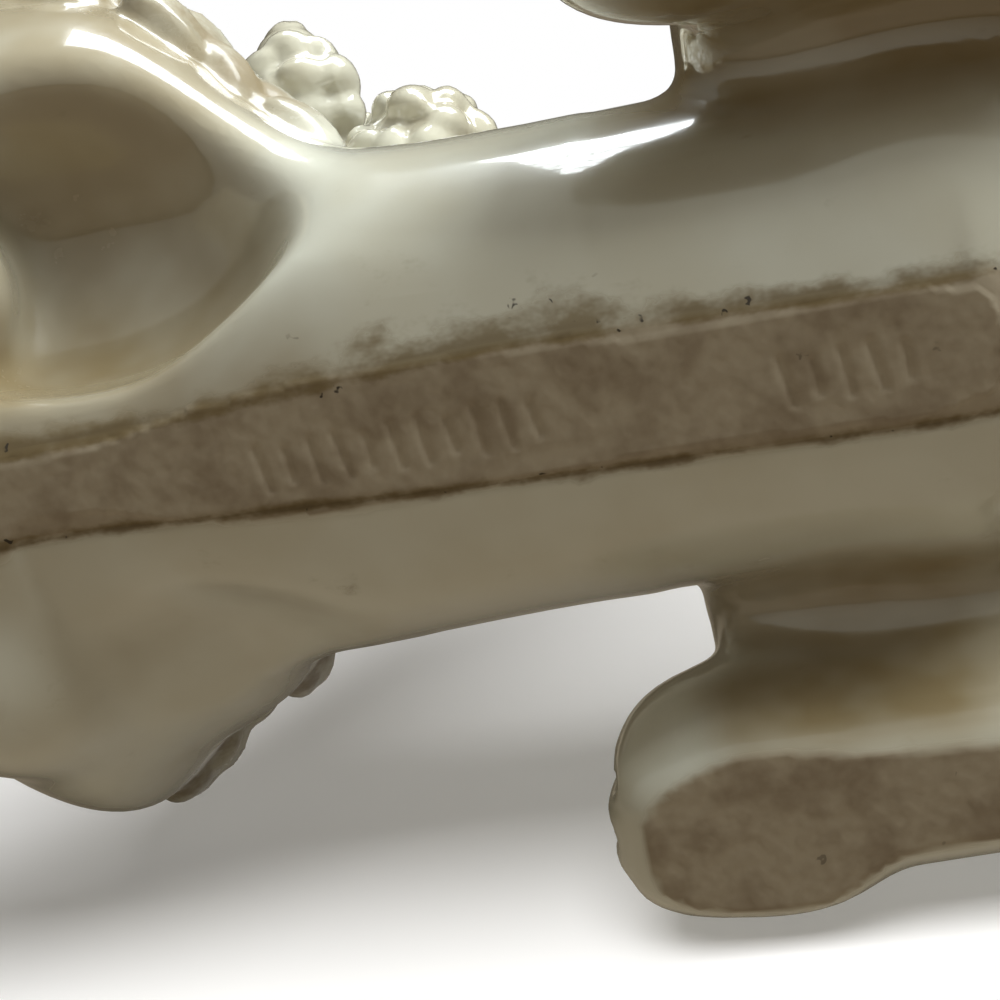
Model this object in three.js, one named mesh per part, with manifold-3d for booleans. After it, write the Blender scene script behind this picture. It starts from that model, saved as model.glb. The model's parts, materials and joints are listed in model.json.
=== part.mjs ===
// A lying poodle, cast in one piece and glazed. Millimetres, +Z up, it faces -X, its left is -Y.
// The ground is Z = 0. Until the last step X = 0, Y = 0 is a point under the middle of the belly.
import * as THREE from "three";
import Module from "manifold-3d";

// Loin and rump
const LOIN_R = 27; // half the width of the smooth waist
const LOIN_Z = 26; // its middle over the ground: the cut at Z = 0 leaves the flat belly strip
const LOIN_FRONT = -22;
const LOIN_REAR = 38;
const STRIP = [
  [-46, 4.8, -0.2],
  [0, 7, -0.5],
  [38, 6.9, 0.5],
]; // the flat belly strip: [x, half width, middle y]
const STRIP_SLOPE = 0.27; // how steeply the belly rises from the edges of the strip
const RUMP = { at: [47, 0, 31.5], half: [24, 31, 29] };

// Hind legs, folded, with long feet that point forwards
const THIGH = { at: [43, 33, 38], half: [28.5, 14.5, 20], power: 2.4, lean: -14 };
const HAM = { at: [47.5, 34, 31.5], half: [28, 15, 13.5], power: 4 };
const WEB = { at: [45.5, 42.5, 19], half: [28, 8, 10], power: 4 }; // joins the folded thigh to the foot
const LEG_SHIFT = { left: 6.5, right: -1.2 }; // the left hind leg lies further back
const TOES = { at: [17.8, 48.9, 9], half: [15, 10.7, 11.2], power: 2.9, lean: 7 };
const FOOT_SIDE = { at: [18.8, 44, 14], half: [13.5, 9, 8.5], power: 2.6 }; // its inner wall
const INSTEP = { from: [20, 46.8, 8.2], to: [58, 46, 8.6], r: [10.4, 9.6] };
const HOCK_CUFF = { at: [60, 46, 13], half: [11.5, 12.5, 13] };

// Mane: sections across the body from the waist to the front of the chest.
// Each is [x, middle y, half width, bottom z, top z]; it is fuller on the side the head turns to.
const MANE = [
  [4, 0, 21, 5, 47],
  [-16, -0.5, 24.6, 0.6, 51.5],
  [-29, -5.2, 31.2, -0.2, 59],
  [-40, -6.8, 41.2, -0.6, 70],
  [-52, -6, 47, -0.6, 79],
  [-63, -1.8, 51.5, 0.3, 80],
  [-74, 0, 46.5, 4, 74],
  [-83, 0, 34, 12, 61],
  [-88, 0, 16, 24, 46],
];
const MANE_LOCKS = { at: [-55, -3, 41], half: [33, 50, 38.5] }; // the oval its rows of locks follow
const SHOULDER = { at: [-54, -5, 72], half: [22, 29, 23] };
const RUFF = { at: [-48, -12, 88], half: [18, 20, 19] };
const HOLLOWS = [
  { at: [-45, -25, 10], half: [24, 16, 14] },
  { at: [-38, 25, 1], half: [14, 9, 8] },
];

// Front legs, stretched out on the ground
const FORELEG = { from: [-66, 22, 12], to: [-104, 17.5, 9.5], r: [12, 8.5] };
const PAW = { at: [-108, 17.5, 7.5], half: [14, 10.3, 9.8], power: 2.35 };
const WRIST_CUFF = { at: [-91, 19, 12.5], half: [8.5, 13.5, 13] };

// Head, turned to the left
const HEAD_TURN = -98; // degrees from looking to the rear, round +Z
const HEAD_AT = [-37, -16, 105];
const SKULL = { at: [0, 0, -1], half: [15.5, 13, 13] };
const MUZZLE = { from: [9, 0, -4.5], to: [25, 0, -7], r: [8, 5.8] };
const BEARD = { at: [18, 0, -11.6], half: [8.6, 8.2, 6] };
const NOSE = { at: [29.6, 0, -4.4], half: [2.7, 3.5, 2.7] };
const BROW = { at: [10.5, 5.6, 2.6], half: [4.3, 3.8, 2.6] };
const EYE = { at: [13.2, 6, -1], half: [2.2, 2.4, 1.9] };
const TOPKNOT = { at: [-5, 0, 14], half: [14.5, 15.5, 12.5] };
const EAR = { at: [0, 17.2, -10], half: [8.6, 7, 18], lean: 5 };
const EAR_END = { at: [5, 18.6, -24.5], half: [8.6, 8.6, 10] };

// Tail, docked and raised, with a pompon
const TAIL = { from: [64, 0, 44], to: [80, 0, 66], r: [6.5, 4.6] };
const POMPON = { at: [83, 0, 73], half: [11, 11.5, 11] };

// Locks: each is a tilted petal that overlaps the next row
const LOCK = { gap: 8.8, long: 6.5, wide: 4.8, high: 3.7, tilt: 17 }; // mane
const CURL = { gap: 6.8, long: 4.3, wide: 3.7, high: 3.3, tilt: 12 }; // head, cuffs, pompon
const SOFT = 7; // fillet between large forms
const CREASE = 0.8; // fillet between locks
const UNDER_EDGE = 35; // the mane's underside is smooth below this height

// Resolution of the solid
const STEP = 2.1;
const LOW = [-128, -66, -8];
const HIGH = [101, 66, 142];
const FACES = 9750;

const rad = THREE.MathUtils.degToRad;
const mirror = (p) => [p[0], -p[1], p[2]];
const size = LOW.map((lo, i) => Math.ceil((HIGH[i] - lo) / STEP) + 1);
const level = new Float32Array(size[0] * size[1] * size[2]).fill(60);

// A pseudo-random number in 0..1 that is the same every time.
const chance = (n) => {
  const s = Math.sin(n * 12.9898) * 43758.5453;
  return s - Math.floor(s);
};

// Runs a distance function over the nodes of a box and mixes it into the body.
function mix(centre, reach, distance, how) {
  const a = centre.map((c, i) => Math.max(0, Math.floor((c - reach - LOW[i]) / STEP)));
  const b = centre.map((c, i) => Math.min(size[i] - 1, Math.ceil((c + reach - LOW[i]) / STEP)));
  for (let k = a[2]; k <= b[2]; k++)
    for (let j = a[1]; j <= b[1]; j++)
      for (let i = a[0]; i <= b[0]; i++) {
        const n = (k * size[1] + j) * size[0] + i;
        const d = distance(LOW[0] + i * STEP, LOW[1] + j * STEP, LOW[2] + k * STEP);
        level[n] = how(level[n], d);
      }
}
const join = (r) => (a, b) => {
  const h = Math.max(r - Math.abs(a - b), 0) / r;
  return Math.min(a, b) - (h * h * r) / 4;
};
const carve = (r) => (a, b) => {
  const h = Math.max(r - Math.abs(a + b), 0) / r;
  return Math.max(a, -b) + (h * h * r) / 4;
};

// A rounded block: an ellipsoid when power is 2, boxier above; axes are the columns of turn.
function lump(form, how, turn = new THREE.Matrix4()) {
  const { at, half, power = 2 } = form;
  const m = turn.clone().transpose().elements;
  const distance = (x, y, z) => {
    const u = x - at[0];
    const v = y - at[1];
    const w = z - at[2];
    const q = [
      Math.abs(m[0] * u + m[4] * v + m[8] * w) / half[0],
      Math.abs(m[1] * u + m[5] * v + m[9] * w) / half[1],
      Math.abs(m[2] * u + m[6] * v + m[10] * w) / half[2],
    ];
    const f = (q[0] ** power + q[1] ** power + q[2] ** power) ** (1 / power);
    if (f < 1e-3) return -Math.min(...half);
    const slope = Math.hypot(...q.map((c, i) => c ** (power - 1) / half[i])) * f ** (1 - power);
    return (f - 1) / slope;
  };
  mix(at, Math.max(...half) + 9, distance, how);
}

// A limb: a straight round bar that changes radius from end to end.
function limb(form, how) {
  const from = new THREE.Vector3(...form.from);
  const along = new THREE.Vector3(...form.to).sub(from);
  const length2 = along.lengthSq();
  const middle = from.clone().addScaledVector(along, 0.5);
  const p = new THREE.Vector3();
  const distance = (x, y, z) => {
    p.set(x, y, z).sub(from);
    const t = THREE.MathUtils.clamp(p.dot(along) / length2, 0, 1);
    return p.addScaledVector(along, -t).length() - THREE.MathUtils.lerp(...form.r, t);
  };
  mix(middle.toArray(), Math.sqrt(length2) / 2 + Math.max(...form.r) + 9, distance, how);
}

// A body given by oval sections across X, joined by smooth curves.
function sections(rows, how) {
  const curve = [1, 2, 3, 4].map((c) => {
    const points = rows.map((row) => new THREE.Vector2(row[0], row[c]));
    return (x) => {
      let i = 0;
      while (i < points.length - 2 && x < points[i + 1].x) i += 1;
      const t = THREE.MathUtils.clamp((x - points[i].x) / (points[i + 1].x - points[i].x), 0, 1);
      const at = (k) => points[THREE.MathUtils.clamp(k, 0, points.length - 1)].y;
      const [a, b, c0, d] = [at(i - 1), at(i), at(i + 1), at(i + 2)];
      return 0.5 * (2 * b + (c0 - a) * t + (2 * a - 5 * b + 4 * c0 - d) * t ** 2 +
        (3 * b - a - 3 * c0 + d) * t ** 3);
    };
  });
  const ends = [rows[0][0], rows[rows.length - 1][0]];
  const middle = [(ends[0] + ends[1]) / 2, 0, 40];
  const distance = (x, y, z) => {
    const [cy, ry, low, high] = curve.map((f) => f(x));
    const rz = (high - low) / 2;
    const wider = (curve[1](x - 1) - curve[1](x + 1)) / 2;
    const f = Math.hypot((y - cy) / ry, (z - (low + high) / 2) / rz);
    const d = ((f - 1) * Math.min(ry, rz)) / Math.hypot(1, wider);
    return Math.max(d, x - ends[0], ends[1] - x);
  };
  mix(middle, 70, distance, how);
}

// Slides a point along a direction until it lies on the bare body.
let bare = level;
function settle(start, way) {
  const at = (p) => {
    const [i, j, k] = p.toArray().map((v, n) => Math.round((v - LOW[n]) / STEP));
    return bare[(k * size[1] + j) * size[0] + i];
  };
  const p = start.clone().addScaledVector(way, 9);
  for (let t = 9; t > -14; t -= STEP / 4) {
    if (at(p) < 0) return p;
    p.addScaledVector(way, -STEP / 4);
  }
  return null;
}

// Rows of overlapping locks over a rounded form. pole is where the rows start, keep(point) which stay.
let seed = 1;
function locks(form, lock, pole, keep = () => true, turn = new THREE.Matrix4(), rows = [0, 180]) {
  const axis = new THREE.Vector3(...pole).normalize();
  const side = new THREE.Vector3(0, 0, 1).cross(axis);
  if (side.lengthSq() < 0.1) side.set(1, 0, 0);
  side.addScaledVector(axis, -side.dot(axis)).normalize();
  const third = axis.clone().cross(side);
  const mean = (form.half[0] + form.half[1] + form.half[2]) / 3;
  const count = Math.round((rad(rows[1] - rows[0]) * mean) / (lock.gap * 0.82));
  for (let r = 0; r <= count; r++) {
    const lat = rad(rows[0] + ((rows[1] - rows[0]) * r) / count);
    const about = Math.max(1, Math.round((2 * Math.PI * Math.sin(lat) * mean) / lock.gap));
    for (let c = 0; c < about; c++) {
      seed += 1;
      const lon = ((c + (r % 2) / 2 + 0.3 * (chance(seed) - 0.5)) / about) * 2 * Math.PI;
      const way = axis.clone().multiplyScalar(Math.cos(lat));
      way.addScaledVector(side, Math.sin(lat) * Math.cos(lon));
      way.addScaledVector(third, Math.sin(lat) * Math.sin(lon));
      const half = new THREE.Vector3(...form.half);
      const local = way.clone().multiply(half);
      const out = way.clone().divide(half).applyMatrix4(turn).normalize();
      const at = settle(local.applyMatrix4(turn).add(new THREE.Vector3(...form.at)), out);
      if (!at || !keep(at)) continue;
      const flow = axis.clone().applyMatrix4(turn).negate();
      flow.addScaledVector(out, -flow.dot(out));
      if (flow.lengthSq() < 0.01) flow.set(1, 0, 0).addScaledVector(out, -out.x);
      flow.normalize().applyAxisAngle(out, rad(70 * (chance(seed + 0.5) - 0.5)));
      const cross = out.clone().cross(flow);
      flow.applyAxisAngle(cross, rad(-lock.tilt));
      out.applyAxisAngle(cross, rad(-lock.tilt));
      const grow = 0.88 + 0.24 * chance(seed + 0.25);
      lump(
        { at: at.toArray(), half: [lock.long * grow, lock.wide * grow, lock.high * grow] },
        join(CREASE),
        new THREE.Matrix4().makeBasis(flow, cross, out),
      );
    }
  }
}

// Body: the loin is a round bar, and the mane grows out of it
limb(
  {
    from: [LOIN_FRONT, 0, LOIN_Z],
    to: [LOIN_REAR, 0, LOIN_Z],
    r: [LOIN_R, LOIN_R],
  },
  join(SOFT),
);
lump(RUMP, join(SOFT));
sections(MANE, join(9));
lump(SHOULDER, join(12));
lump(RUFF, join(12));
for (const hollow of HOLLOWS) lump(hollow, carve(9));

// The belly rises from both edges of the strip
mix([-4, 0, 0], 50, (x, y, z) => {
  const far = STRIP.findIndex((row) => row[0] >= x);
  const b = far < 0 ? STRIP.length - 1 : Math.max(far, 1);
  const t = THREE.MathUtils.clamp((x - STRIP[b - 1][0]) / (STRIP[b][0] - STRIP[b - 1][0]), 0, 1);
  const half = THREE.MathUtils.lerp(STRIP[b - 1][1], STRIP[b][1], t);
  const mid = THREE.MathUtils.lerp(STRIP[b - 1][2], STRIP[b][2], t);
  return (z - STRIP_SLOPE * (Math.abs(y - mid) - half)) / Math.hypot(1, STRIP_SLOPE);
}, carve(2));

// Both hind legs and both front legs
for (const flip of [(p) => p, mirror]) {
  const back = flip([0, 1, 0])[1] < 0 ? LEG_SHIFT.left : LEG_SHIFT.right;
  const shift = (p) => flip([p[0] + back, p[1], p[2]]);
  const put = (form) => ({ ...form, at: shift(form.at) });
  const lean = (form) => new THREE.Matrix4().makeRotationY(rad(form.lean));
  lump(put(THIGH), join(SOFT), lean(THIGH));
  lump(put(HAM), join(6));
  lump(put(WEB), join(8));
  limb({ ...INSTEP, from: shift(INSTEP.from), to: shift(INSTEP.to) }, join(5));
  lump(put(TOES), join(4), lean(TOES));
  lump(put(FOOT_SIDE), join(5));
  limb({ ...FORELEG, from: flip(FORELEG.from), to: flip(FORELEG.to) }, join(6));
  lump({ ...PAW, at: flip(PAW.at) }, join(4));
}

// Head
const turnHead = new THREE.Matrix4().makeRotationZ(rad(HEAD_TURN));
const onHead = (p) =>
  new THREE.Vector3(...p).applyMatrix4(turnHead).add(new THREE.Vector3(...HEAD_AT)).toArray();
const headForm = (form) => ({ ...form, at: onHead(form.at) });
lump(headForm(SKULL), join(5), turnHead);
limb({ ...MUZZLE, from: onHead(MUZZLE.from), to: onHead(MUZZLE.to) }, join(4));
lump(headForm(BEARD), join(2), turnHead);
lump(headForm(NOSE), join(1), turnHead);
for (const s of [-1, 1]) {
  lump(headForm({ ...BROW, at: [BROW.at[0], s * BROW.at[1], BROW.at[2]] }), join(2.5), turnHead);
  lump(headForm({ ...EYE, at: [EYE.at[0], s * EYE.at[1], EYE.at[2]] }), join(0.6), turnHead);
}
lump(headForm(TOPKNOT), join(3), turnHead);

// Tail
limb(TAIL, join(5));
lump(POMPON, join(2));

// Ears and cuffs
const leanEar = (s) => turnHead.clone().multiply(new THREE.Matrix4().makeRotationX(rad(s * EAR.lean)));
const ears = [-1, 1].map((s) => {
  const ear = headForm({ ...EAR, at: [EAR.at[0], s * EAR.at[1], EAR.at[2]] });
  const end = headForm({ ...EAR_END, at: [EAR_END.at[0], s * EAR_END.at[1], EAR_END.at[2]] });
  lump(ear, join(2.5), leanEar(s));
  lump(end, join(3), turnHead);
  return { ear, end, turn: leanEar(s) };
});
const hock = (back, side) => ({
  ...HOCK_CUFF,
  at: [HOCK_CUFF.at[0] + back, side * HOCK_CUFF.at[1], HOCK_CUFF.at[2]],
});
const cuffs = [
  hock(LEG_SHIFT.right, 1),
  hock(LEG_SHIFT.left, -1),
  WRIST_CUFF,
  { ...WRIST_CUFF, at: mirror(WRIST_CUFF.at) },
];
for (const cuff of cuffs) lump(cuff, join(1.5));

// The locks of every curly part
bare = level.slice();
for (const { ear, end, turn } of ears) {
  locks(ear, CURL, [0, 0, 1], (p) => p.z > end.at[2] - 2, turn, [20, 180]);
  locks(end, CURL, [0, 0, 1], (p) => p.z < end.at[2] + 4, turnHead, [60, 180]);
}
const headTop = HEAD_AT[2];
locks(headForm(TOPKNOT), CURL, [0, 0, 1], (p) => p.z > headTop + 8, turnHead, [0, 130]);
locks(headForm(BEARD), { ...CURL, gap: 6 }, [-1, 0, 1], (p) => p.z < headTop - 10, turnHead, [40, 180]);
const clear = (p) => p.z < headTop - 19 || p.y > HEAD_AT[1] - 4; // keeps the face free
locks(MANE_LOCKS, LOCK, [1, 0, 0.15], (p) => p.z > UNDER_EDGE && p.x < -19, undefined, [24, 180]);
locks(SHOULDER, LOCK, [1, 0, 1], (p) => p.z > 70 && clear(p), undefined, [10, 180]);
locks(RUFF, { ...LOCK, gap: 8.6 }, [0, 0, 1], (p) => p.z > 80 && p.z < 98 && clear(p), undefined, [30, 180]);
locks(POMPON, CURL, [0.6, 0, 0.8]);
for (const cuff of cuffs) locks(cuff, CURL, [0, 0, 1], (p) => p.z > 5);

// Turns the level set into triangles: each cell of the grid is six tetrahedra.
function surface() {
  const [nx, ny] = size;
  const points = [];
  const faces = [];
  const made = new Map();
  const place = (n) => [n % nx, Math.floor(n / nx) % ny, Math.floor(n / (nx * ny))];
  const crossing = (a, b) => {
    const key = a < b ? a * 2 ** 22 + b : b * 2 ** 22 + a;
    let at = made.get(key);
    if (at === undefined) {
      const t = level[a] / (level[a] - level[b]);
      const p = place(a);
      const q = place(b);
      at = points.length / 3;
      for (let i = 0; i < 3; i++) points.push(LOW[i] + STEP * (p[i] + t * (q[i] - p[i])));
      made.set(key, at);
    }
    return at;
  };
  const inside = (n) => level[n] < 0;
  const emit = (a, b, c, from) => {
    const [p, q, r] = [a, b, c].map((v) => new THREE.Vector3(...points.slice(3 * v, 3 * v + 3)));
    const normal = q.sub(p).cross(r.sub(p));
    const core = place(from);
    const out = p.clone();
    out.set(...p.toArray().map((v, i) => v - (LOW[i] + STEP * core[i])));
    if (normal.dot(out) < 0) faces.push(a, c, b);
    else faces.push(a, b, c);
  };
  const orders = [
    [1, nx, nx * ny],
    [nx, 1, nx * ny],
    [1, nx * ny, nx],
    [nx * ny, 1, nx],
    [nx, nx * ny, 1],
    [nx * ny, nx, 1],
  ];
  for (let k = 0; k < size[2] - 1; k++)
    for (let j = 0; j < ny - 1; j++)
      for (let i = 0; i < nx - 1; i++) {
        const base = (k * ny + j) * nx + i;
        for (const [s, t, u] of orders) {
          const four = [base, base + s, base + s + t, base + s + t + u];
          const ins = four.filter(inside);
          const outs = four.filter((n) => !inside(n));
          if (ins.length === 1) {
            const c = outs.map((n) => crossing(ins[0], n));
            emit(c[0], c[1], c[2], ins[0]);
          } else if (ins.length === 3) {
            const c = ins.map((n) => crossing(n, outs[0]));
            emit(c[0], c[1], c[2], ins[0]);
          } else if (ins.length === 2) {
            const [a, b] = ins;
            const [c, d] = outs;
            const ac = crossing(a, c);
            const ad = crossing(a, d);
            const bc = crossing(b, c);
            const bd = crossing(b, d);
            emit(ac, ad, bd, a);
            emit(ac, bd, bc, a);
          }
        }
      }
  return { points: Float64Array.from(points), faces: Int32Array.from(faces) };
}

// Takes triangles away where the surface is smooth: edges are collapsed cheapest first.
function thin({ points, faces }, target) {
  const nv = points.length / 3;
  let left = faces.length / 3;
  const quad = new Float64Array(nv * 10);
  const around = Array.from({ length: nv }, () => []);
  const alive = new Uint8Array(left).fill(1);
  const stamp = new Int32Array(nv);
  const corner = (f, i) => faces[3 * f + i];
  const vec = (v) => [points[3 * v], points[3 * v + 1], points[3 * v + 2]];
  const normalOf = (a, b, c) => {
    const u = [b[0] - a[0], b[1] - a[1], b[2] - a[2]];
    const w = [c[0] - a[0], c[1] - a[1], c[2] - a[2]];
    return [u[1] * w[2] - u[2] * w[1], u[2] * w[0] - u[0] * w[2], u[0] * w[1] - u[1] * w[0]];
  };
  for (let f = 0; f < left; f++) {
    const [a, b, c] = [0, 1, 2].map((i) => vec(corner(f, i)));
    const n = normalOf(a, b, c);
    const twice = Math.hypot(...n) || 1e-12;
    const [x, y, z] = n.map((v) => v / twice);
    const w = -(x * a[0] + y * a[1] + z * a[2]);
    const q = [x * x, x * y, x * z, x * w, y * y, y * z, y * w, z * z, z * w, w * w];
    for (let i = 0; i < 3; i++) {
      around[corner(f, i)].push(f);
      for (let m = 0; m < 10; m++) quad[10 * corner(f, i) + m] += q[m] * twice;
    }
  }
  const error = (q, p) =>
    q[0] * p[0] * p[0] + 2 * q[1] * p[0] * p[1] + 2 * q[2] * p[0] * p[2] + 2 * q[3] * p[0] +
    q[4] * p[1] * p[1] + 2 * q[5] * p[1] * p[2] + 2 * q[6] * p[1] +
    q[7] * p[2] * p[2] + 2 * q[8] * p[2] + q[9];
  const best = (a, b) => {
    const q = new Float64Array(10);
    for (let m = 0; m < 10; m++) q[m] = quad[10 * a + m] + quad[10 * b + m];
    const pa = vec(a);
    const pb = vec(b);
    const mid = pa.map((v, i) => (v + pb[i]) / 2);
    const e = 1e-3 * (q[0] + q[4] + q[7]); // pulls towards the middle where the surface is flat
    const m3 = new THREE.Matrix3().set(q[0] + e, q[1], q[2], q[1], q[4] + e, q[5], q[2], q[5], q[7] + e);
    const p = new THREE.Vector3(e * mid[0] - q[3], e * mid[1] - q[6], e * mid[2] - q[8]);
    p.applyMatrix3(m3.invert());
    const spread = Math.hypot(pa[0] - pb[0], pa[1] - pb[1], pa[2] - pb[2]);
    const off = Math.hypot(p.x - mid[0], p.y - mid[1], p.z - mid[2]);
    const at = Number.isFinite(off) && off < 1.5 * spread ? p.toArray() : mid;
    return { at, cost: Math.max(error(q, at), 0) + 1e-3 * spread * spread };
  };
  const heap = [];
  const up = (i) => {
    while (i > 0) {
      const above = (i - 1) >> 1;
      if (heap[above][0] <= heap[i][0]) break;
      [heap[above], heap[i]] = [heap[i], heap[above]];
      i = above;
    }
  };
  const push = (a, b) => {
    heap.push([best(a, b).cost, a, b, stamp[a], stamp[b]]);
    up(heap.length - 1);
  };
  const pop = () => {
    const top = heap[0];
    const last = heap.pop();
    if (heap.length) {
      heap[0] = last;
      let i = 0;
      for (;;) {
        let small = i;
        for (const c of [2 * i + 1, 2 * i + 2])
          if (c < heap.length && heap[c][0] < heap[small][0]) small = c;
        if (small === i) break;
        [heap[small], heap[i]] = [heap[i], heap[small]];
        i = small;
      }
    }
    return top;
  };
  const near = (v) => {
    const set = new Set();
    for (const f of around[v]) for (let i = 0; i < 3; i++) set.add(corner(f, i));
    set.delete(v);
    return set;
  };
  for (let f = 0; f < left; f++)
    for (let i = 0; i < 3; i++) {
      const a = corner(f, i);
      const b = corner(f, (i + 1) % 3);
      if (a < b) push(a, b);
    }
  while (left > target && heap.length) {
    const [, a, b, sa, sb] = pop();
    if (stamp[a] !== sa || stamp[b] !== sb) continue;
    const na = near(a);
    const nb = near(b);
    let shared = 0;
    for (const v of na) if (nb.has(v)) shared += 1;
    if (shared !== 2 || na.size + nb.size - 4 < 3) continue;
    const { at } = best(a, b);
    const bad = (v, other) =>
      around[v].some((f) => {
        const tri = [corner(f, 0), corner(f, 1), corner(f, 2)];
        if (tri.includes(other)) return false;
        const before = normalOf(...tri.map(vec));
        const after = normalOf(...tri.map((t) => (t === v ? at : vec(t))));
        const dot = before[0] * after[0] + before[1] * after[1] + before[2] * after[2];
        return dot < 0.25 * Math.hypot(...before) * Math.hypot(...after) || Math.hypot(...after) < 0.02;
      });
    if (bad(a, b) || bad(b, a)) continue;
    points.set(at, 3 * a);
    for (let m = 0; m < 10; m++) quad[10 * a + m] += quad[10 * b + m];
    const kept = [];
    for (const f of new Set([...around[a], ...around[b]])) {
      const tri = [corner(f, 0), corner(f, 1), corner(f, 2)];
      if (tri.includes(a) && tri.includes(b)) {
        alive[f] = 0;
        left -= 1;
        for (const v of tri) if (v !== a && v !== b) around[v] = around[v].filter((g) => g !== f);
      } else {
        for (let i = 0; i < 3; i++) if (faces[3 * f + i] === b) faces[3 * f + i] = a;
        kept.push(f);
      }
    }
    around[a] = kept;
    around[b] = [];
    stamp[b] = -1;
    stamp[a] += 1;
    for (const v of near(a)) {
      if (a < v) push(a, v);
      else push(v, a);
    }
  }
  const number = new Map();
  const outPoints = [];
  const outFaces = [];
  for (let f = 0; f < alive.length; f++) {
    if (!alive[f]) continue;
    for (let i = 0; i < 3; i++) {
      const v = corner(f, i);
      if (!number.has(v)) {
        number.set(v, outPoints.length / 3);
        outPoints.push(...vec(v));
      }
      outFaces.push(number.get(v));
    }
  }
  return { points: outPoints, faces: outFaces };
}

const wasm = await Module();
wasm.setup();
const solidOf = (points, faces) =>
  new wasm.Manifold(
    new wasm.Mesh({
      numProp: 3,
      vertProperties: Float32Array.from(points),
      triVerts: Uint32Array.from(faces),
    }),
  );

// The ground is cut flat, as the belly and the soles are rubbed flat before firing.
const body = thin(surface(), FACES);
const ground = new THREE.BoxGeometry(400, 300, 40).translate(0, 0, -20);
const blockPoints = [];
const corners = new Map();
const blockFaces = Array.from(ground.index.array, (n) => {
  const p = [0, 1, 2].map((i) => ground.attributes.position.array[3 * n + i]);
  const key = p.join();
  if (!corners.has(key)) {
    corners.set(key, blockPoints.length / 3);
    blockPoints.push(...p);
  }
  return corners.get(key);
});
const cut = solidOf(body.points, body.faces).subtract(solidOf(blockPoints, blockFaces));
const parts = cut.decompose().sort((a, b) => b.volume() - a.volume());
const mesh = parts[0].getMesh();

const geometry = new THREE.BufferGeometry();
geometry.setAttribute("position", new THREE.BufferAttribute(mesh.vertProperties.slice(), 3));
geometry.setIndex(new THREE.BufferAttribute(mesh.triVerts.slice(), 1));
geometry.computeBoundingBox();
const box = geometry.boundingBox;
const middle = [(box.min.x + box.max.x) / 2, (box.min.y + box.max.y) / 2];
console.log("middle of the outline from the belly point, mm", middle.map((v) => v.toFixed(3)).join(" "));
console.log("size, mm", ["x", "y", "z"].map((a) => (box.max[a] - box.min[a]).toFixed(2)).join(" x "));
console.log("loose bits", parts.slice(1).map((b) => b.volume().toFixed(2)).join(" "));
console.log("pieces after the cut", parts.length, "volume, cm3", (parts[0].volume() / 1000).toFixed(1));
geometry.translate(-middle[0], -middle[1], -box.min.z);
geometry.computeVertexNormals();

const glaze = new THREE.MeshStandardMaterial({ color: 0xe2ddc8, roughness: 0.22, metalness: 0 });
const poodle = new THREE.Mesh(geometry, glaze);
poodle.name = "poodle_figurine";
const group = new THREE.Group();
group.name = "lying_poodle";
group.add(poodle);
export default group;
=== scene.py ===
# %% [markdown]
# # A lying poodle, cast in one piece and glazed
# The figurine is a hollow casting with a smooth waist, a curly coat over chest, head, ears,
# wrists, hocks and tail, and a cream glaze. It was laid on its side and seen from below, so
# the belly strip, which was wiped bare before firing, faces the camera.
# The measured solid comes in first. It fixes the size and the place of everything here.
# %% Tools and the measured solid
import json
import math
import bpy
import numpy as np
from mathutils import Matrix, Vector

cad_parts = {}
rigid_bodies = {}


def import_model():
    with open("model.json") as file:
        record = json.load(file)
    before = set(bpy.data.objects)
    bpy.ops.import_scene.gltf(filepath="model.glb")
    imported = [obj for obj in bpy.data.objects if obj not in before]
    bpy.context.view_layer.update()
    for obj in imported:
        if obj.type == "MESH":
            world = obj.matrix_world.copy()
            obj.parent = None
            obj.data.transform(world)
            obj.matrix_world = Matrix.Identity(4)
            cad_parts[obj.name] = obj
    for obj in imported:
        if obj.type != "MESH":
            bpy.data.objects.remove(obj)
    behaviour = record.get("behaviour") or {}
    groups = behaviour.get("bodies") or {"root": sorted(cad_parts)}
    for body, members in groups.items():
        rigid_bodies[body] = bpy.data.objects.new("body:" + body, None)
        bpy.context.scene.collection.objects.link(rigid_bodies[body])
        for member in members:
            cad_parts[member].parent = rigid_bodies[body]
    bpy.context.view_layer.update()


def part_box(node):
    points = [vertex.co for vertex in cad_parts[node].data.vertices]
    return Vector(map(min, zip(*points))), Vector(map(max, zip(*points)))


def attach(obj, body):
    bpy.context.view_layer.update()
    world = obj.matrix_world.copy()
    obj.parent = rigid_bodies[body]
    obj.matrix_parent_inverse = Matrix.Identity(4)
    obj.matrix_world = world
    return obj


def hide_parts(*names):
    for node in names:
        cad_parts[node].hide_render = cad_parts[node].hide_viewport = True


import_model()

MM = 0.001
MIDDLE = (-12.691, 0.043)  # where the middle of the figurine lies from a point under its belly

# %% [markdown]
# ## A field of distances
# A slip casting has no sharp joins: glaze and plaster round off every meeting of two forms.
# Modelled surfaces or sculpting could do this by hand. A field of signed distances does it by
# rule: each form is a formula, and a soft minimum flows one form into the next. The field is
# kept in a block of numbers, one for each step through space, in millimetres.
# %% The block and the two ways to mix a form in
STEP = 0.8
LOW = np.array([-124.0, -64.0, -4.0])
HIGH = np.array([101.0, 64.0, 140.0])
cells = np.ceil((HIGH - LOW) / STEP).astype(int) + 1
level = np.full(cells, 60.0, np.float32)


def join(r):
    def mixed(a, b):
        h = np.maximum(r - np.abs(a - b), 0) / r
        return np.minimum(a, b) - h * h * r / 4
    return mixed


def carve(r):
    def mixed(a, b):
        h = np.maximum(r - np.abs(a + b), 0) / r
        return np.maximum(a, -b) + h * h * r / 4
    return mixed


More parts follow.
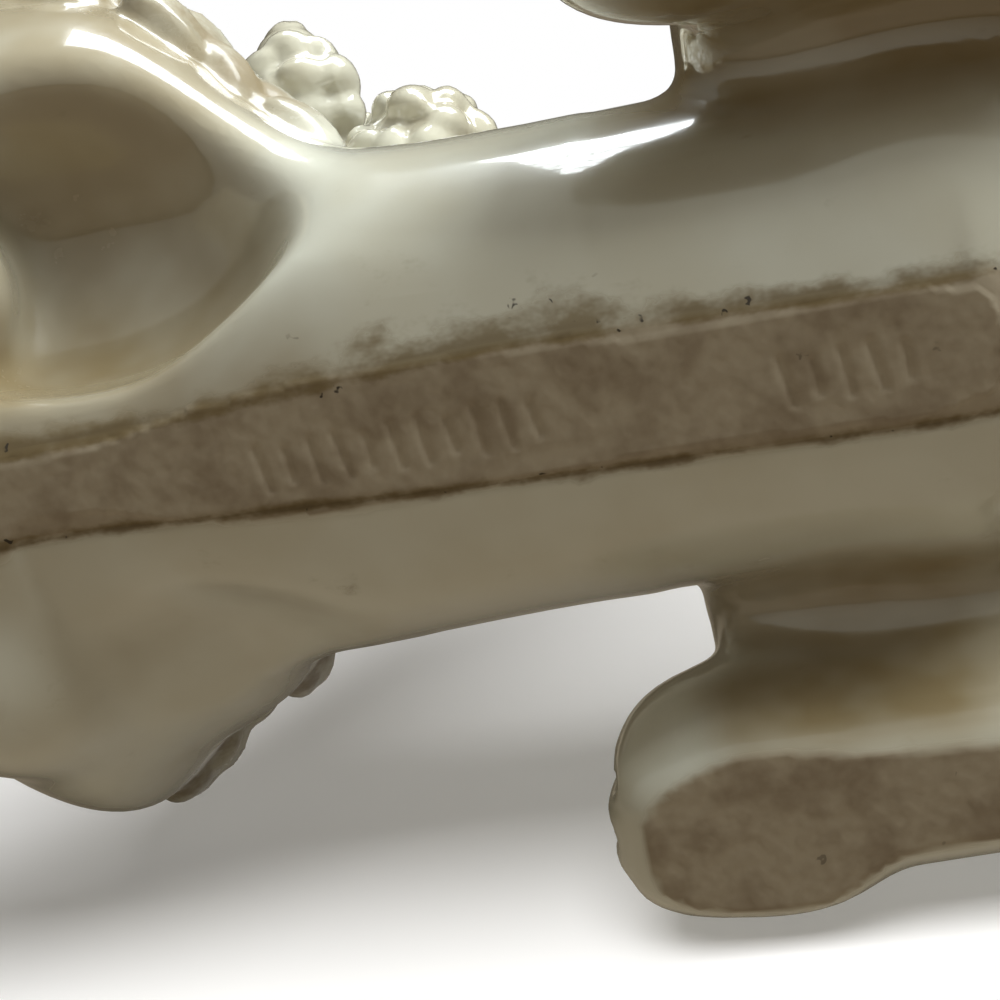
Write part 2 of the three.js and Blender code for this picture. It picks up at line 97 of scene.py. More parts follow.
def mix(centre, reach, distance, how):
    """Mixes a form into the block, in a box round its centre only."""
    centre = np.array(centre, float)
    a = np.maximum(np.floor((centre - reach - LOW) / STEP).astype(int), 0)
    b = np.minimum(np.ceil((centre + reach - LOW) / STEP).astype(int) + 1, cells)
    part = tuple(slice(i, j) for i, j in zip(a, b))
    axes = [LOW[n] + STEP * np.arange(a[n], b[n], dtype=np.float32) for n in range(3)]
    x, y, z = np.meshgrid(*axes, indexing="ij", sparse=True)
    level[part] = how(level[part], distance(x, y, z))


print("field of", " x ".join(str(c) for c in cells), "steps of", STEP, "mm")

# %% [markdown]
# ## The three kinds of form
# Three formulas are enough for the whole animal: a rounded block for head, thighs and toes, a
# tapering round bar for limbs and the muzzle, and oval sections on a smooth curve for the mane.
# Primitives from Blender's menu would need the same sizes, but couldn't flow into one another.
# %% Rounded blocks
EDGE = 9  # how far outside a form the block is still touched, mm


def spin(axis, degrees):
    return np.array(Matrix.Rotation(math.radians(degrees), 3, axis))


STRAIGHT = np.eye(3)


def block_distance(form, turn, x, y, z):
    """Distance to a rounded block: an ellipsoid at power 2, boxier above."""
    power = form.get("power", 2)
    u, v, w = x - form["at"][0], y - form["at"][1], z - form["at"][2]
    q = [abs(turn[0, i] * u + turn[1, i] * v + turn[2, i] * w) / form["half"][i] for i in range(3)]
    f = sum(c ** power for c in q) ** (1 / power)
    f = np.maximum(f, 1e-3)
    slope = np.sqrt(sum((c ** (power - 1) / h) ** 2 for c, h in zip(q, form["half"])))
    return (f - 1) / np.maximum(slope * f ** (1 - power), 1e-6)


def block(form, how, turn=STRAIGHT, reach=EDGE):
    def distance(x, y, z):
        return block_distance(form, turn, x, y, z)

    mix(form["at"], max(form["half"]) + reach, distance, how)


ball = {"at": (0, 0, 0), "half": (10, 10, 10)}
print("from a 10 mm ball to a point 15 mm away:", block_distance(ball, STRAIGHT, 15.0, 0.0, 0.0))

# %% Tapering bars, and oval sections on a curve


def bar(form, how):
    start, end = np.array(form["from"], float), np.array(form["to"], float)
    along = end - start
    r0, r1 = form["r"]

    def distance(x, y, z):
        u, v, w = x - start[0], y - start[1], z - start[2]
        t = np.clip((u * along[0] + v * along[1] + w * along[2]) / (along @ along), 0, 1)
        away = (u - t * along[0]) ** 2 + (v - t * along[1]) ** 2 + (w - t * along[2]) ** 2
        return np.sqrt(away) - (r0 + (r1 - r0) * t)

    mix((start + end) / 2, np.linalg.norm(along) / 2 + max(r0, r1) + EDGE, distance, how)


def smooth_curve(rows, column):
    """A smooth curve through one column of the rows, as a function of their first column."""
    at, value = rows[:, 0], rows[:, column]

    def read(x):
        i = np.clip(np.searchsorted(-at, -x) - 1, 0, len(at) - 2)
        t = np.clip((x - at[i]) / (at[i + 1] - at[i]), 0, 1)
        a, b = value[np.maximum(i - 1, 0)], value[i]
        c, d = value[i + 1], value[np.minimum(i + 2, len(at) - 1)]
        bend = (2 * a - 5 * b + 4 * c - d) * t ** 2 + (3 * b - a - 3 * c + d) * t ** 3
        return 0.5 * (2 * b + (c - a) * t + bend)

    return read


def sections(rows, how):
    """Ovals across X, one for each row, joined by smooth curves."""
    rows = np.array(rows, float)
    middle_y, half_width, bottom, top = [smooth_curve(rows, c) for c in (1, 2, 3, 4)]
    first, last = rows[0, 0], rows[-1, 0]

    def distance(x, y, z):
        line = x.ravel()
        shape = x.shape
        cy, ry, low, high = [f(line).reshape(shape) for f in (middle_y, half_width, bottom, top)]
        rz = (high - low) / 2
        wider = (half_width(line - 1) - half_width(line + 1)).reshape(shape) / 2
        f = np.hypot((y - cy) / ry, (z - (low + high) / 2) / rz)
        d = (f - 1) * np.minimum(ry, rz) / np.hypot(1, wider)
        return np.maximum(d, np.maximum(x - first, last - x))

    mix(((first + last) / 2, 0, 40), 70, distance, how)


squares = smooth_curve(np.array([[2, 0], [1, 1], [0, 4], [-1, 9]], float), 1)
print("halfway between 1 and 4 on a curve of squares:", float(squares(0.5)))


# %% [markdown]
# ## Trunk and mane
# The waist is a round bar, the rump a block, and the mane a row of ovals that flare towards the
# chest. The belly rises from both edges of a flat strip, on which the figurine stands. A mesh
# pulled into shape by hand would look alike, but these few numbers can be read and changed.
# %% Sizes of trunk and mane, mm
SOFT = 7
LOIN = {"from": (-22, 0, 26), "to": (38, 0, 26), "r": (27, 27)}
STRIP = np.array([[-46, 4.8, -0.2], [0, 7, -0.5], [38, 6.9, 0.5]])  # x, half width, middle y
STRIP_SLOPE = 0.27
RUMP = {"at": (47, 0, 31.5), "half": (24, 31, 29)}
MANE = [
    (4, 0, 21, 5, 47), (-16, -0.5, 24.6, 0.6, 51.5), (-29, -4.5, 31.9, -0.2, 59),
    (-40, -5.6, 42.4, -0.6, 70), (-52, -4.8, 48.2, -0.6, 79), (-63, -1.2, 52.1, 0.3, 80),
    (-74, 0, 46.5, 4, 74), (-83, 0, 34, 12, 61), (-88, 0, 16, 24, 46),
]  # x, middle y, half width, bottom, top
SHOULDER = {"at": (-54, -5, 72), "half": (22, 29, 23)}
RUFF = {"at": (-48, -12, 88), "half": (18, 20, 19)}
HOLLOWS = [
    {"at": (-45, -25, 10), "half": (24, 16, 14)},
    {"at": (-38, 25, 1), "half": (14, 9, 8)},
]


def strip_edges(x):
    """Half width and middle of the bare belly strip at x."""
    half = np.interp(x, STRIP[:, 0], STRIP[:, 1])
    return half, np.interp(x, STRIP[:, 0], STRIP[:, 2])


def belly_rise(x, y, z):
    half, middle = strip_edges(x)
    return (z - STRIP_SLOPE * (abs(y - middle) - half)) / math.hypot(1, STRIP_SLOPE)


bar(LOIN, join(SOFT))
block(RUMP, join(SOFT))
sections(MANE, join(9))
block(SHOULDER, join(12))
block(RUFF, join(12))
for hollow in HOLLOWS:
    block(hollow, carve(9))
mix((-4, 0, 0), 50, belly_rise, carve(2))
print("trunk and mane:", round(float((level < 0).sum()) * STEP ** 3 / 1000), "cm3")

# %% [markdown]
# ## Legs
# Thighs, long hind feet that point forwards, and stretched forelegs are the same on both sides.
# A Mirror modifier could copy one side. One loop over both sides is used instead, because the
# left hind leg lies further back. Grooves between the toes are thin blocks taken away again.
# %% Legs, feet and their cuffs of curls
THIGH = {"at": (43, 33, 38), "half": (28.5, 14.5, 20), "power": 2.4}
THIGH_LEAN = -14
HAM = {"at": (47.5, 34, 31.5), "half": (28, 15, 13.5), "power": 4}
WEB = {"at": (45.5, 42.5, 19), "half": (28, 8, 10), "power": 4}
LEG_SHIFT = {1: -1.2, -1: 6.5}
TOES = {"at": (17.8, 48.9, 9), "half": (15, 10.7, 11.2), "power": 2.9}
FOOT_SIDE = {"at": (18.8, 44, 14), "half": (13.5, 9, 8.5), "power": 2.6}
TOES_LEAN = 7
INSTEP = {"from": (20, 46.8, 8.2), "to": (58, 46, 8.6), "r": (10.4, 9.6)}
HOCK_CUFF = {"at": (60, 46, 13), "half": (11.5, 12.5, 13)}
FORELEG = {"from": (-66, 22, 12), "to": (-104, 17.5, 9.5), "r": (12, 8.5)}
PAW = {"at": (-108, 17.5, 7.5), "half": (14, 10.3, 9.8), "power": 2.35}
WRIST_CUFF = {"at": (-91, 19, 12.5), "half": (8.5, 13.5, 13)}
TOE_LINES = (-5.2, 0, 5.2)


def placed(form, side=1, along=0):
    """A copy of a form on the other side of the body, or moved along it."""
    new = dict(form)
    for key in ("at", "from", "to"):
        if key in form:
            x, y, z = form[key]
            new[key] = (x + along, side * y, z)
    return new


def toe_lines(foot, front):
    x, y, z = foot["at"]
    for off in TOE_LINES:
        groove = {"at": (x - front, y + off, z + 4), "half": (5.5, 0.9, 8)}
        block(groove, carve(1.6), reach=3)


cuffs = []
for side in (1, -1):
    back = LEG_SHIFT[side]
    block(placed(THIGH, side, back), join(SOFT), spin("Y", THIGH_LEAN))
    block(placed(HAM, side, back), join(6))
    block(placed(WEB, side, back), join(8))
    bar(placed(INSTEP, side, back), join(5))
    toes = placed(TOES, side, back)
    block(toes, join(4), spin("Y", TOES_LEAN))
    block(placed(FOOT_SIDE, side, back), join(5))
    bar(placed(FORELEG, side), join(6))
    paw = placed(PAW, side)
    block(paw, join(4))
    toe_lines(toes, 14.5)
    toe_lines(paw, 12.5)
    cuffs += [placed(HOCK_CUFF, side, back), placed(WRIST_CUFF, side)]
print("legs done, forms in cuffs:", len(cuffs))

# %% [markdown]
# ## Head, ears and tail
# The head looks to the animal's left. Its forms are given as if it looked along X, and one turn
# puts them all in place, which is easier to get right than forms given at a slant. The face
# stays plain, with a soft brow, closed-up eyes and a nose, as glaze leaves it on such a casting.
# %% Head, ears and tail
HEAD_TURN = -98
HEAD_AT = np.array([-37.0, -16.0, 105.0])
SKULL = {"at": (0, 0, -1), "half": (15.5, 13, 13)}
MUZZLE = {"from": (9, 0, -4.5), "to": (25, 0, -7), "r": (8, 5.8)}
BEARD = {"at": (18, 0, -11.6), "half": (8.6, 8.2, 6)}
NOSE = {"at": (29.6, 0, -4.4), "half": (2.7, 3.5, 2.7)}
BROW = {"at": (10.5, 5.6, 2.6), "half": (4.3, 3.8, 2.6)}
SOCKET = {"at": (15.2, 6.6, -0.8), "half": (2.6, 3.2, 2.6)}
EYE = {"at": (13.2, 6, -1), "half": (2.2, 2.4, 1.9)}
NOSTRIL = {"at": (31.8, 1.5, -4.6), "half": (1.2, 0.8, 0.8)}
TOPKNOT = {"at": (-5, 0, 14), "half": (14.5, 15.5, 12.5)}
EAR = {"at": (0, 17.2, -10), "half": (8.6, 7, 18)}
EAR_LEAN = 5
EAR_END = {"at": (5, 18.6, -24.5), "half": (8.6, 8.6, 10)}
TAIL = {"from": (64, 0, 44), "to": (80, 0, 66), "r": (6.5, 4.6)}
POMPON = {"at": (83, 0, 73), "half": (11, 11.5, 11)}
head_turn = spin("Z", HEAD_TURN)


def on_head(form, side=1):
    new = placed(form, side)
    for key in ("at", "from", "to"):
        if key in new:
            new[key] = tuple(head_turn @ np.array(new[key]) + HEAD_AT)
    return new


block(on_head(SKULL), join(5), head_turn)
bar(on_head(MUZZLE), join(4))
beard = on_head(BEARD)
block(beard, join(2), head_turn)
block(on_head(NOSE), join(1), head_turn)
for side in (-1, 1):
    block(on_head(BROW, side), join(2.5), head_turn)
    block(on_head(SOCKET, side), carve(1.5), head_turn, 3)
    block(on_head(EYE, side), join(0.6), head_turn)
    block(on_head(NOSTRIL, side), carve(0.6), head_turn, 3)
topknot = on_head(TOPKNOT)
block(topknot, join(3), head_turn)
bar(TAIL, join(5))
block(POMPON, join(2))
ears, ear_ends = [], []
for side in (-1, 1):
    lean = head_turn @ spin("X", side * EAR_LEAN)
    ears.append((on_head(EAR, side), lean))
    ear_ends.append((on_head(EAR_END, side), head_turn))
    block(ears[-1][0], join(2.5), lean)
    block(ear_ends[-1][0], join(3), head_turn)
for cuff in cuffs:
    block(cuff, join(1.5))
ground = LOW[2] + STEP * np.arange(cells[2], dtype=np.float32)
level = np.maximum(level, -ground[None, None, :])
print("smooth body:", round(float((level < 0).sum()) * STEP ** 3 / 1000), "cm3")

# %% [markdown]
# ## From the field to a skin
# The surface lies where the distance is nought. Every cell of the block that the surface crosses
# gets one corner, in the middle of its crossings, and cells that share a crossed edge are joined
# by a face. A metaball or a volume could give a skin too, but would hide how it comes about.
# %% The smooth skin


def skin(values):
    """Corners and four-sided faces where the values change sign."""
    count = np.array(values.shape) - 1
    total = np.zeros((*count, 3), np.float32)
    hits = np.zeros(tuple(count), np.float32)
    for axis in range(3):
        others = [n for n in range(3) if n != axis]
        for near in ((0, 0), (0, 1), (1, 0), (1, 1)):
            start = [slice(0, count[n]) for n in range(3)]
            for n, o in zip(others, near):
                start[n] = slice(o, count[n] + o)
            end = list(start)
            end[axis] = slice(1, count[axis] + 1)
            a, b = values[tuple(start)], values[tuple(end)]
            crossed = (a < 0) != (b < 0)
            t = np.where(crossed, a / np.where(crossed, a - b, 1), 0)
            total[..., axis] += t
            for n, o in zip(others, near):
                total[..., n] += o * crossed
            hits += crossed
    used = hits > 0
    number = np.full(tuple(count), -1)
    number[used] = np.arange(used.sum())
    corners = LOW + STEP * (np.argwhere(used) + total[used] / hits[used][:, None])
    faces = []
    for axis in range(3):
        b, c = (axis + 1) % 3, (axis + 2) % 3
        start = [slice(1, count[n]) for n in range(3)]
        start[axis] = slice(0, count[axis])
        end = list(start)
        end[axis] = slice(1, count[axis] + 1)
        here, there = values[tuple(start)] < 0, values[tuple(end)] < 0
        for out, order in ((here & ~there, 1), (~here & there, -1)):
            at = np.argwhere(out)
            for n in (b, c):
                at[:, n] += 1
            ring = []
            for ob, oc in ((-1, -1), (0, -1), (0, 0), (-1, 0))[::order]:
                cell = at.copy()
                cell[:, b] += ob
                cell[:, c] += oc
                ring.append(number[tuple(cell.T)])
            faces.append(np.stack(ring, 1))
    return corners, np.concatenate(faces)


def mesh_of(name, corners, faces):
    mesh = bpy.data.meshes.new(name)
    sides = faces.shape[1]
    mesh.vertices.add(len(corners))
    mesh.vertices.foreach_set("co", corners.astype(np.float32).ravel())
    mesh.loops.add(faces.size)
    mesh.loops.foreach_set("vertex_index", faces.astype(np.int32).ravel())
    mesh.polygons.add(len(faces))
    mesh.polygons.foreach_set("loop_start", np.arange(0, faces.size, sides, dtype=np.int32))
    mesh.update(calc_edges=True)
    return mesh


def object_of(mesh):
    made = bpy.data.objects.new(mesh.name, mesh)
    bpy.context.scene.collection.objects.link(made)
    return made


corners, faces = skin(level)
body = object_of(mesh_of("smooth body", corners, faces))
print("smooth skin:", len(corners), "corners,", len(faces), "faces")

# %% [markdown]
# ## Where the coat is curly
# The curls are modelled on chosen parts only, so each corner of the skin is told how much coat
# it carries and which way the hair runs. Masks could be painted by hand. Here they come from
# the same forms that made the body: a corner belongs to a form when it lies near its surface.
# %% Masks for long locks and small curls
UNDER_EDGE = 35  # height of the mane's lower rim, mm
COAT_X, COAT_TOP = (-89, -19), 99  # the mane's long locks lie between these
SHOULDER_TOP = 78  # above it they point straight back and down
CHEEK = (10.5, 27)  # curls beside the face begin and end this far from its middle
x, y, z = corners.T
head_top = HEAD_AT[2]
face_free = (z < head_top - 19) | (y > HEAD_AT[1] - 4)


def near(form, turn=STRAIGHT, reach=2.2):
    return abs(block_distance(form, turn, x, y, z)) < reach


flow = np.zeros_like(corners)
flow[:, 0] = -1
curly = np.zeros(len(corners), bool)


def add_curls(where, pole):
    global curly
    curly |= where
    flow[where] = -np.array(pole, float)


for (ear, lean), (ear_end, _) in zip(ears, ear_ends):
    add_curls(near(ear, lean) & (z > ear_end["at"][2] - 2) & (z < head_top + 4), (0, 0, 1))
    add_curls(near(ear_end, head_turn) & (z < ear_end["at"][2] + 4), (0, 0, 1))
add_curls(near(topknot, head_turn) & (z > head_top + 8), (0, 0, 1))
add_curls(near(beard, head_turn) & (z < head_top - 10), head_turn @ (-1, 0, 1))
add_curls(near(POMPON), (0.6, 0, 0.8))
for cuff in cuffs:
    add_curls(near(cuff) & (z > 5), (0, 0, 1))
on_face = near(on_head(SKULL), head_turn, 3) | (np.linalg.norm(corners - HEAD_AT, axis=1) < 15)
across = abs(((corners - HEAD_AT) @ head_turn)[:, 1])
cheek = (z > head_top - 24) & (z < head_top + 3) & (y < HEAD_AT[1] + 4)
add_curls(cheek & (across > CHEEK[0]) & (across < CHEEK[1]) & ~on_face, (0, 0, 1))
lock_edge = np.interp(y, (5, 25), (UNDER_EDGE, UNDER_EDGE + 8))
maned = (x > COAT_X[0]) & (x < COAT_X[1]) & (z > lock_edge) & (z < COAT_TOP)
maned = maned & face_free & ~curly & ~on_face
flow[maned & (z > SHOULDER_TOP)] = (-0.7, 0, -0.7)


def keep_numbers(mesh, name, values):
    values = np.asarray(values, np.float32)
    kind = "FLOAT" if values.ndim == 1 else "FLOAT_VECTOR"
    layer = mesh.attributes.new(name, kind, "POINT")
    layer.data.foreach_set("value" if values.ndim == 1 else "vector", values.ravel())


keep_numbers(body.data, "long locks", maned)
keep_numbers(body.data, "small curls", curly)
keep_numbers(body.data, "flow", flow)
print("share of the skin with locks, curls:", round(maned.mean(), 2), round(curly.mean(), 2))

# %% [markdown]
# ## Locks of hair
# Nearly five hundred locks lie over the coat like shingles. They could be sculpted one by one, but
# they repeat and follow the surface, which is what Geometry Nodes are for. The tree strews points
# at an even distance over the masked skin, lays a petal on each along the flow of the hair, turns
# it a little by chance and lifts its tip. It is used twice: for the mane and for small curls.
# %% A tree that lays locks over a masked skin
glaze = bpy.data.materials.new("cream glaze")
SIZES = {
    "Distance": 7.0, "Length": 6.6, "Width": 4.8, "Height": 3.3,
    "Lift": 15.0, "Turn by chance": 35.0, "Strands": 0.1,
}  # named inputs, mm and degrees


def lock_tree():
    tree = bpy.data.node_groups.new("locks over a coat", "GeometryNodeTree")
    face = tree.interface
    face.new_socket("Skin", in_out="INPUT", socket_type="NodeSocketGeometry")
    face.new_socket("Mask", in_out="INPUT", socket_type="NodeSocketString")
    for name in SIZES:
        face.new_socket(name, in_out="INPUT", socket_type="NodeSocketFloat")
    face.new_socket("Seed", in_out="INPUT", socket_type="NodeSocketInt")
    face.new_socket("Skin", in_out="OUTPUT", socket_type="NodeSocketGeometry")
    given = tree.nodes.new("NodeGroupInput").outputs

    def node(kind, values=None, **settings):
        made = tree.nodes.new(kind)
        for key, value in settings.items():
            setattr(made, key, value)
        for key, value in (values or {}).items():
            socket = made.inputs[key]
            if isinstance(value, bpy.types.NodeSocket):
                tree.links.new(value, socket)
            else:
                socket.default_value = value
        return made

    def maths(operation, a, b=0.0):
        return node("ShaderNodeMath", {0: a, 1: b}, operation=operation).outputs[0]

    mask = node("GeometryNodeInputNamedAttribute", {"Name": given["Mask"]}, data_type="FLOAT")
    spread = node("GeometryNodeDistributePointsOnFaces", {
        "Mesh": given["Skin"], "Distance Min": given["Distance"], "Density Max": 1.0,
        "Density Factor": mask.outputs[0], "Seed": given["Seed"],
    }, distribute_method="POISSON")
    way = node("GeometryNodeInputNamedAttribute", {"Name": "flow"}, data_type="FLOAT_VECTOR")
    lay = node("FunctionNodeAlignRotationToVector", {
        "Rotation": spread.outputs["Rotation"], "Vector": way.outputs[0],
    }, axis="X", pivot_axis="Z").outputs[0]
    most = maths("RADIANS", given["Turn by chance"])
    chance = node("FunctionNodeRandomValue", {
        2: maths("MULTIPLY", most, -1.0), 3: most, "Seed": given["Seed"],
    }, data_type="FLOAT").outputs[1]
    twist = node("ShaderNodeCombineXYZ", {2: chance}).outputs[0]
    raised = node("ShaderNodeCombineXYZ", {
        1: maths("MULTIPLY", maths("RADIANS", given["Lift"]), -1.0),
    }).outputs[0]
    for angles in (twist, raised):
        lay = node("FunctionNodeRotateRotation", {
            "Rotation": lay, "Rotate By": angles,
        }, rotation_space="LOCAL").outputs[0]
    grow = node("FunctionNodeRandomValue", {2: 0.88, 3: 1.12, "Seed": given["Seed"]},
                data_type="FLOAT").outputs[1]

    ball = node("GeometryNodeMeshIcoSphere", {"Radius": 1.0, "Subdivisions": 3}).outputs["Mesh"]
    place = node("GeometryNodeInputPosition").outputs[0]
    parts = node("ShaderNodeSeparateXYZ", {0: place}).outputs
    strands = maths("COSINE", maths("MULTIPLY", parts["Y"], 8.4))
    ridge = maths("ADD", 1.0, maths("MULTIPLY", strands, given["Strands"]))
    narrow = maths("SUBTRACT", 1.0, maths("MULTIPLY", parts["X"], 0.22))
    bend = maths("MULTIPLY", maths("MULTIPLY", parts["X"], parts["X"]), 0.3)
    across = maths("ADD", maths("MULTIPLY", parts["Y"], narrow), bend)
    petal = node("ShaderNodeCombineXYZ", {
        0: maths("MULTIPLY", parts["X"], given["Length"]),
        1: maths("MULTIPLY", across, given["Width"]),
        2: maths("MULTIPLY", maths("MULTIPLY", parts["Z"], ridge), given["Height"]),
    }).outputs[0]
    lock = node("GeometryNodeSetPosition", {"Geometry": ball, "Position": petal}).outputs[0]
    laid = node("GeometryNodeInstanceOnPoints", {
        "Points": spread.outputs["Points"], "Instance": lock, "Rotation": lay, "Scale": grow,
    }).outputs[0]
    both = node("GeometryNodeJoinGeometry").inputs[0]
    solid = node("GeometryNodeRealizeInstances")
    tree.links.new(laid, both)
    tree.links.new(given["Skin"], both)
    tree.links.new(both.node.outputs[0], solid.inputs[0])
    coat = node("GeometryNodeSetMaterial", {"Geometry": solid.outputs[0], "Material": glaze})
    tree.links.new(coat.outputs[0], tree.nodes.new("NodeGroupOutput").inputs[0])
    return tree


def lay_locks(target, tree, **given):
    """Adds the tree as a modifier and sets its inputs by their identifiers."""
    step = target.modifiers.new("locks", "NODES")
    step.node_group = tree
    for socket in tree.interface.items_tree:
        if socket.in_out == "INPUT" and socket.name in {**SIZES, **given}:
            step[socket.identifier] = given.get(socket.name, SIZES.get(socket.name))


locks_tree = lock_tree()
lay_locks(body, locks_tree, Mask="long locks", Seed=3)
lay_locks(body, locks_tree, Mask="small curls", Seed=8, Distance=5.0, Length=4.1, Width=3.4,
          Height=2.9, Lift=12.0, Strands=0.0)
print("the tree has", len(locks_tree.nodes), "nodes")

# %% [markdown]
# ## Fused as in the mould
# On the real piece body and locks are one wall of clay, and thick glaze fills the creases. A
# voxel Remesh welds all that overlaps into one closed skin, Smooth rounds its creases as glaze
# does, and Decimate spends fewer triangles where it is plain. The belly is spared for its strokes.
# %% One closed skin
VOXEL = 0.75  # mm
TRIANGLES = 176000  # after thinning, to which the finer strip adds some 19,000


def baked(source, name):
    """The object's mesh with its modifiers applied, as a new object in its place."""
    graph = bpy.context.evaluated_depsgraph_get()
    mesh = bpy.data.meshes.new_from_object(source.evaluated_get(graph))
    mesh.name = name
    bpy.data.objects.remove(source)
    return object_of(mesh)


def read_corners(mesh):
    values = np.zeros(3 * len(mesh.vertices), np.float32)
    mesh.vertices.foreach_get("co", values)
    return values.reshape(-1, 3)


weld = body.modifiers.new("weld", "REMESH")
weld.mode = "VOXEL"
weld.voxel_size = VOXEL
weld.adaptivity = 0
relax = body.modifiers.new("relax", "SMOOTH")
relax.factor = 0.5
relax.iterations = 2
body = baked(body, "welded body")
places = read_corners(body.data)
half, middle = strip_edges(places[:, 0])
on_belly = (places[:, 2] < 3) & (abs(places[:, 1] - middle) < half + 3) & (places[:, 0] > -70)
spare = body.vertex_groups.new(name="may be thinned")
spare.add([int(i) for i in np.flatnonzero(~on_belly)], 1, "REPLACE")
quads = len(body.data.polygons)
thin = body.modifiers.new("thin", "DECIMATE")
thin.ratio = TRIANGLES / (2 * quads)
thin.vertex_group = spare.name
body = baked(body, "poodle")
print("welded:", quads, "quads; thinned:", len(body.data.polygons), "faces")

# %% [markdown]
# ## Strokes pressed into the belly
# The strip carries faint pressed strokes in two groups, all at about one slant. A Boolean or a
# bump could make them, but the first leaves hard edges and the second no shape, so the skin is
# made finer along the strip and its corners are pushed in by a rule.
# The strip's two edges also get a shallow channel, in which dirt has settled on the real piece.
# %% A finer strip, strokes and edge channels
import bmesh
STROKE = {"long": 4.6, "wide": 0.85, "deep": 0.24}
SHORTER = 0.3  # every third stroke is shorter by this share
STROKES_Y = 0.9  # the middle of a row of strokes
CHANNEL = {"upper": 0.1, "lower": 0.2, "wide": 0.55}
GROUPS = [(-25.5, 11, 2.9), (28.5, 5, 2.9)]  # first stroke's x, how many, pitch
LEANS = (9, 5, 7, 11, 4, 8, 6)  # degrees, taken in turn


def fine_strip(mesh, low, high, times):
    """Splits the strip's edges between low and high, so many times."""
    work = bmesh.new()
    work.from_mesh(mesh)
    for _ in range(times):
        edges = []
        for edge in work.edges:
            mid = (edge.verts[0].co + edge.verts[1].co) / 2
            half, middle = strip_edges(mid.x)
            if low < mid.x < high and mid.z < 1.2 and abs(mid.y - middle) < half + 1.6:
                edges.append(edge)
        bmesh.ops.subdivide_edges(work, edges=edges, cuts=1, use_grid_fill=True)
        bmesh.ops.triangulate(work, faces=[f for f in work.faces if len(f.verts) > 3])
    bmesh.ops.recalc_face_normals(work, faces=work.faces)
    work.to_mesh(mesh)
    work.free()


def stroke_depth(x, y):
    """How deep the pressed strokes are at x, y, mm."""
    deep = np.zeros_like(x)
    for first, count, pitch in GROUPS:
        for n in range(count):
            lean = math.radians(LEANS[n % len(LEANS)])
            at_x = first + n * pitch
            u, v = x - at_x, y - (STROKES_Y - 0.05 * n)
            along = u * math.sin(lean) + v * math.cos(lean)
            across = u * math.cos(lean) - v * math.sin(lean)
            long = STROKE["long"] * (1 - SHORTER * (n % 3 == 1))
            over = np.maximum(abs(along) - long / 2, 0)
            pressed = np.exp(-(np.hypot(over, across) / STROKE["wide"] * 2) ** 2)
            deep = np.maximum(deep, pressed)
    return STROKE["deep"] * deep


fine_strip(body.data, -48, 52, 1)
places = read_corners(body.data).astype(float)
flat = places[:, 2] < 0.22
places[flat, 2] = 0
x, y, z = places.T
half, middle = strip_edges(x)
to_edge = abs(y - middle) - half
on_strip = (z < 1.0) & (to_edge < 1.5) & (x > -60) & (x < 56)
channel = np.where(y > middle, CHANNEL["lower"], CHANNEL["upper"])
channel *= np.exp(-((to_edge - 0.3) / CHANNEL["wide"]) ** 2) * (x < 50)
places[:, 2] += np.where(on_strip, stroke_depth(x, y) * (to_edge < -0.5) + channel, 0)
places[:, 2] = np.maximum(places[:, 2], 0)
body.data.vertices.foreach_set("co", places.astype(np.float32).ravel())
body.data.update()
print("corners on the strip:", int(on_strip.sum()), "faces in all:", len(body.data.polygons))

# %% [markdown]
# ## What each corner knows about its finish
# Glaze, wear and dirt follow the shape: soles and strip are bare where they touched the kiln
# shelf, dirt sits in creases and along the mane's lower rim, with painted shade in the creases
# too, and painted shade lies in the mane's hollow, behind the thighs and over the upper curls.
# Vertex paint or an image could say where. Here it is worked out once from the finished skin and
# kept as attributes, which the material reads, and which stay right when a size is changed.
# %% Creases
RINGS = 7  # how often a corner is averaged with its neighbours to get the calm surface
edges = np.zeros(2 * len(body.data.edges), np.int32)
body.data.edges.foreach_get("vertices", edges)
edges = edges.reshape(-1, 2)
count = len(places)
shares = np.bincount(edges.ravel(), minlength=count)


def averaged(values):
    """Each corner's value, as the mean of its neighbours'."""
    total = np.zeros_like(values)
    for n in range(values.shape[1]):
        total[:, n] = np.bincount(edges[:, 0], values[edges[:, 1], n], count)
        total[:, n] += np.bincount(edges[:, 1], values[edges[:, 0], n], count)
    return total / np.maximum(shares, 1)[:, None]


def ease(value, low, high):
    t = np.clip((value - low) / (high - low), 0, 1)
    return t * t * (3 - 2 * t)


normals = np.zeros(3 * count, np.float32)
body.data.vertex_normals.foreach_get("vector", normals)
normals = normals.reshape(-1, 3)
calm = places
for _ in range(RINGS):
    calm = averaged(calm)
hollow = ((calm - places) * normals).sum(1)
keep_numbers(body.data, "crease", ease(hollow, 0.05, 0.5))
print("deepest crease, mm:", round(float(hollow.max()), 2))

# %% Bare clay, the strip's edges and the mane's rim
x, y, z = places.T
half, middle = strip_edges(x)
to_edge = abs(y - middle) - half
facing_down = ease(-normals[:, 2], 0.75, 0.97)
bare = ease(0.5 - z, 0, 0.45) * facing_down
strip_bare = ease(0.2 - to_edge, -0.4, 0.6) * (z < 1) * (x < 60)
bare = np.maximum(bare, strip_bare)
seam = np.exp(-(to_edge / 0.6) ** 2) * (z < 2.0) * (x > -75) * (x < 50)
seam *= np.where(y > middle, 1, 0.6)
upper = y < middle
reach = np.where(upper, 2.2 + 2.0 * ease(-abs(x + 5), -22, -12), 1.0)
near_seam = np.exp(-(np.maximum(to_edge, 0) / reach) ** 2)
near_seam *= np.exp(-(np.maximum(-to_edge, 0) / 0.9) ** 2) * (z < 6) * (x > -75)
rim_tall = np.where(y < 0, 8.5, 6.5)
rim = np.exp(-((z - UNDER_EDGE - 3) / rim_tall) ** 2) * ease(-x, 16, 24) * (x > -90)
keep_numbers(body.data, "bare", bare)
keep_numbers(body.data, "seam", seam)
keep_numbers(body.data, "near seam", near_seam)
